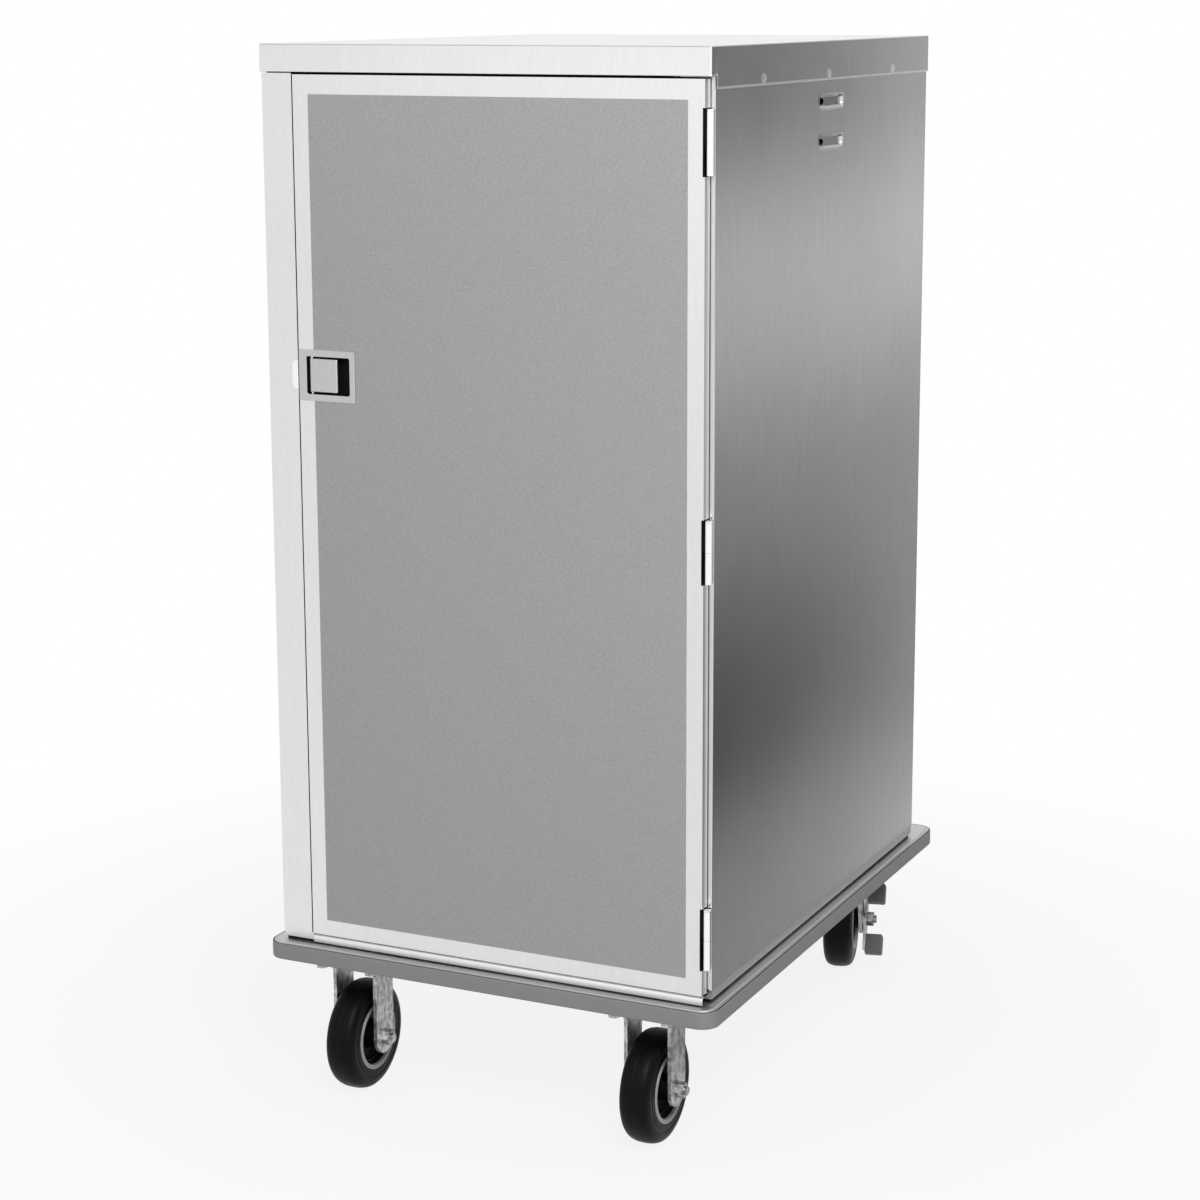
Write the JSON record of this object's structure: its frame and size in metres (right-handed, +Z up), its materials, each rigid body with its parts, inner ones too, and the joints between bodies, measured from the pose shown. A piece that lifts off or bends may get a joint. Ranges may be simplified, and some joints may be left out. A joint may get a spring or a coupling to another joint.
{
  "type": "meal tray cart",
  "caption": "Enclosed upright meal tray cart: sheet-metal cabinet with a side-hinged door, paddle latch, side vents and tray ledges, on a bumper-edged platform with casters.",
  "frame": {"origin": "on the floor, under the middle of the bumper's outline", "axes": "+Z up, -Y the door side, +X the door's hinge side"},
  "size_m": [0.668, 0.893, 1.434],
  "materials": {
    "satin_stainless": "satin brushed",
    "side_stainless": "satin, softly reflecting",
    "door_laminate": "matte, fine linen grain",
    "latch_metal": "fine satin",
    "bright_steel": "polished",
    "zinc_steel": "zinc plated, blotchy",
    "base_steel": "satin",
    "bumper_grey": "matte",
    "tyre_black": "matte, moulded",
    "hub_grey": "matte",
    "pad_grey": "matte",
    "gasket_dark": "matte"
  },
  "bodies": {
    "cart": {"base_platform": "base_steel", "base_channels": "base_steel", "bumper_channel": "base_steel", "bumper_strip": "bumper_grey", "body_frame": "satin_stainless", "door_sill": "satin_stainless", "side_panel_right": "side_stainless", "side_panel_left": "side_stainless", "rear_panel": "side_stainless", "floor_pan": "satin_stainless", "top_cap": "satin_stainless", "left_jamb": "satin_stainless", "hinge_post": "satin_stainless", "header": "satin_stainless", "tray_ledges_right": "satin_stainless", "tray_ledges_left": "satin_stainless", "rack_posts_right": "satin_stainless", "rack_posts_left": "satin_stainless", "push_handle": "bright_steel", "strike_plate": "bright_steel", "hinge_frame_leaves": "bright_steel", "hinge_pins": "bright_steel", "caster_plate_bolts": "zinc_steel", "front_axles": "zinc_steel", "rear_kingpins": "zinc_steel", "front_fork_left": "zinc_steel", "rear_plate_left": "zinc_steel", "front_fork_right": "zinc_steel", "rear_plate_right": "zinc_steel"},
    "door": {"door_shell": "satin_stainless", "door_liner": "satin_stainless", "decor_panel": "door_laminate", "door_gasket": "gasket_dark", "hinge_door_leaves": "bright_steel", "latch_case": "latch_metal", "latch_pin": "bright_steel"},
    "paddle": {"latch_paddle": "latch_metal"},
    "bolt": {"latch_bolt": "bright_steel"},
    "front_wheel_left": {"front_tyre_left": "tyre_black", "front_hub_left": "hub_grey", "front_bearing_left": "zinc_steel"},
    "rear_swivel_left": {"rear_yoke_left": "zinc_steel", "rear_race_left": "zinc_steel", "rear_axle_left": "zinc_steel"},
    "rear_wheel_left": {"rear_tyre_left": "tyre_black", "rear_hub_left": "hub_grey", "rear_bearing_left": "zinc_steel"},
    "brake_left": {"brake_rocker_left": "zinc_steel", "brake_pads_left": "pad_grey"},
    "front_wheel_right": {"front_tyre_right": "tyre_black", "front_hub_right": "hub_grey", "front_bearing_right": "zinc_steel"},
    "rear_swivel_right": {"rear_yoke_right": "zinc_steel", "rear_race_right": "zinc_steel", "rear_axle_right": "zinc_steel"},
    "rear_wheel_right": {"rear_tyre_right": "tyre_black", "rear_hub_right": "hub_grey", "rear_bearing_right": "zinc_steel"},
    "brake_right": {"brake_rocker_right": "zinc_steel", "brake_pads_right": "pad_grey"}
  },
  "joints": [
    {"name": "door_swing", "type": "hinge", "parent": "cart", "child": "door", "pos_m": [0.316, -0.4185, 0.813], "axis": [0, 0, 1], "range_deg": [0, 210]},
    {"name": "latch_pull", "type": "hinge", "parent": "door", "child": "paddle", "pos_m": [-0.2516, -0.4197, 1.0045], "axis": [0, 0, -1], "range_deg": [0, 35], "stiffness_Nm_per_rad": 0.15, "springref_deg": -20.05},
    {"name": "bolt_slide", "type": "slide", "parent": "door", "child": "bolt", "axis": [1, 0, 0], "range_m": [0, 0.00442]},
    {"name": "front_wheel_left_spin", "type": "hinge", "parent": "cart", "child": "front_wheel_left", "pos_m": [-0.222, -0.373, 0.076], "axis": [1, 0, 0], "continuous": true},
    {"name": "rear_swivel_left_turn", "type": "hinge", "parent": "cart", "child": "rear_swivel_left", "pos_m": [-0.222, 0.322, 0.177], "axis": [0, 0, 1], "continuous": true},
    {"name": "rear_wheel_left_spin", "type": "hinge", "parent": "rear_swivel_left", "child": "rear_wheel_left", "pos_m": [-0.23168, 0.36081, 0.076], "axis": [0.9703, 0.2419, 0], "continuous": true},
    {"name": "brake_left_press", "type": "hinge", "parent": "rear_swivel_left", "child": "brake_left", "pos_m": [-0.23168, 0.36081, 0.076], "axis": [-0.9703, -0.2419, 0], "range_deg": [0, 50]},
    {"name": "front_wheel_right_spin", "type": "hinge", "parent": "cart", "child": "front_wheel_right", "pos_m": [0.222, -0.373, 0.076], "axis": [1, 0, 0], "continuous": true},
    {"name": "rear_swivel_right_turn", "type": "hinge", "parent": "cart", "child": "rear_swivel_right", "pos_m": [0.222, 0.322, 0.177], "axis": [0, 0, 1], "continuous": true},
    {"name": "rear_wheel_right_spin", "type": "hinge", "parent": "rear_swivel_right", "child": "rear_wheel_right", "pos_m": [0.21232, 0.36081, 0.076], "axis": [0.9703, 0.2419, 0], "continuous": true},
    {"name": "brake_right_press", "type": "hinge", "parent": "rear_swivel_right", "child": "brake_right", "pos_m": [0.21232, 0.36081, 0.076], "axis": [-0.9703, -0.2419, 0], "range_deg": [0, 50]}
  ],
  "couplings": [
    {"joint": "bolt_slide", "follows": "latch_pull", "m_per_rad": 0.00723}
  ]
}
